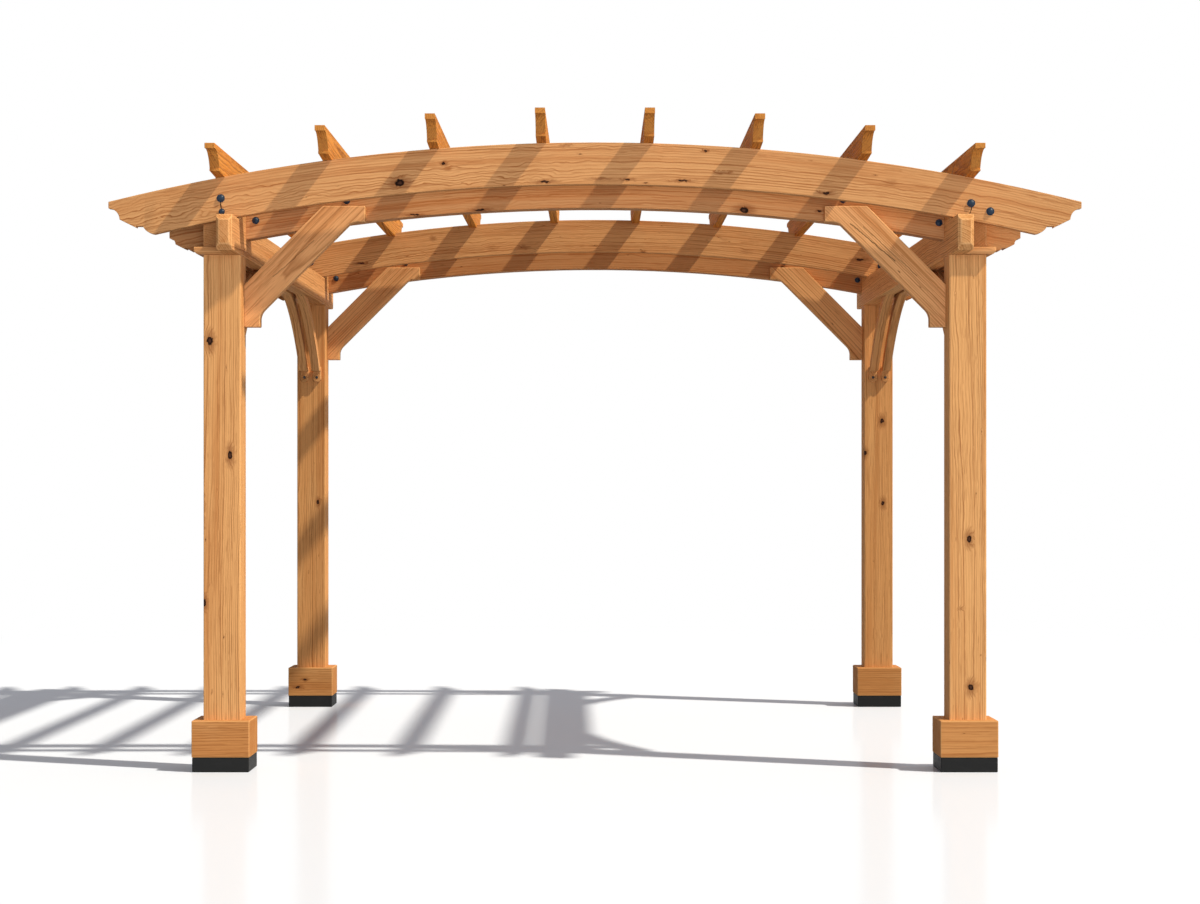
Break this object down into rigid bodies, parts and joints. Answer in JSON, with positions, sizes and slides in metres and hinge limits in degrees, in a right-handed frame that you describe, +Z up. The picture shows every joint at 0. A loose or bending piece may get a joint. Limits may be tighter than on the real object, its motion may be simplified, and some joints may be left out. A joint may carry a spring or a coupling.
{
  "type": "timber pergola",
  "caption": "Free-standing timber pergola with arched cross beams, scroll-cut ends, paired side beams, knee and curved braces and open rafters on square posts.",
  "frame": {"origin": "middle of the plan at ground level, under the crown of the arches", "axes": "+Z up, -Y towards the front, +X to the right seen from the front, along the arches"},
  "size_m": [3.96, 3.8319, 2.7182],
  "materials": {
    "post_wood": "clear oiled softwood, satin",
    "trim_wood": "clear oiled softwood, satin",
    "beam_wood": "clear oiled softwood, satin",
    "arch_wood": "clear oiled softwood, satin",
    "rafter_wood": "clear oiled softwood, satin",
    "foot": "matte black",
    "bolt": "dark blue-black coated steel"
  },
  "bodies": {
    "root": {"foot_front_left": "foot", "foot_front_right": "foot", "foot_rear_left": "foot", "foot_rear_right": "foot", "post_front_left": "post_wood", "post_front_right": "post_wood", "post_rear_left": "post_wood", "post_rear_right": "post_wood", "trim_front_left": "trim_wood", "trim_front_right": "trim_wood", "trim_rear_left": "trim_wood", "trim_rear_right": "trim_wood", "cap_front_left": "beam_wood", "cap_front_right": "beam_wood", "cap_rear_left": "beam_wood", "cap_rear_right": "beam_wood", "side_beam_left_outer": "beam_wood", "side_beam_left_inner": "beam_wood", "side_beam_right_inner": "beam_wood", "side_beam_right_outer": "beam_wood", "upper_arch_front": "arch_wood", "lower_arch_front": "arch_wood", "upper_arch_rear": "arch_wood", "lower_arch_rear": "arch_wood", "block_front_left": "beam_wood", "block_front_right": "beam_wood", "block_rear_left": "beam_wood", "block_rear_right": "beam_wood", "knee_brace_front_left": "beam_wood", "knee_brace_front_right": "beam_wood", "knee_brace_rear_left": "beam_wood", "knee_brace_rear_right": "beam_wood", "curved_braces_front_left": "beam_wood", "curved_braces_front_right": "beam_wood", "curved_braces_rear_left": "beam_wood", "curved_braces_rear_right": "beam_wood", "rafter_1": "rafter_wood", "rafter_2": "rafter_wood", "rafter_3": "rafter_wood", "rafter_4": "rafter_wood", "rafter_5": "rafter_wood", "rafter_6": "rafter_wood", "rafter_7": "rafter_wood", "rafter_8": "rafter_wood"}
  },
  "joints": []
}
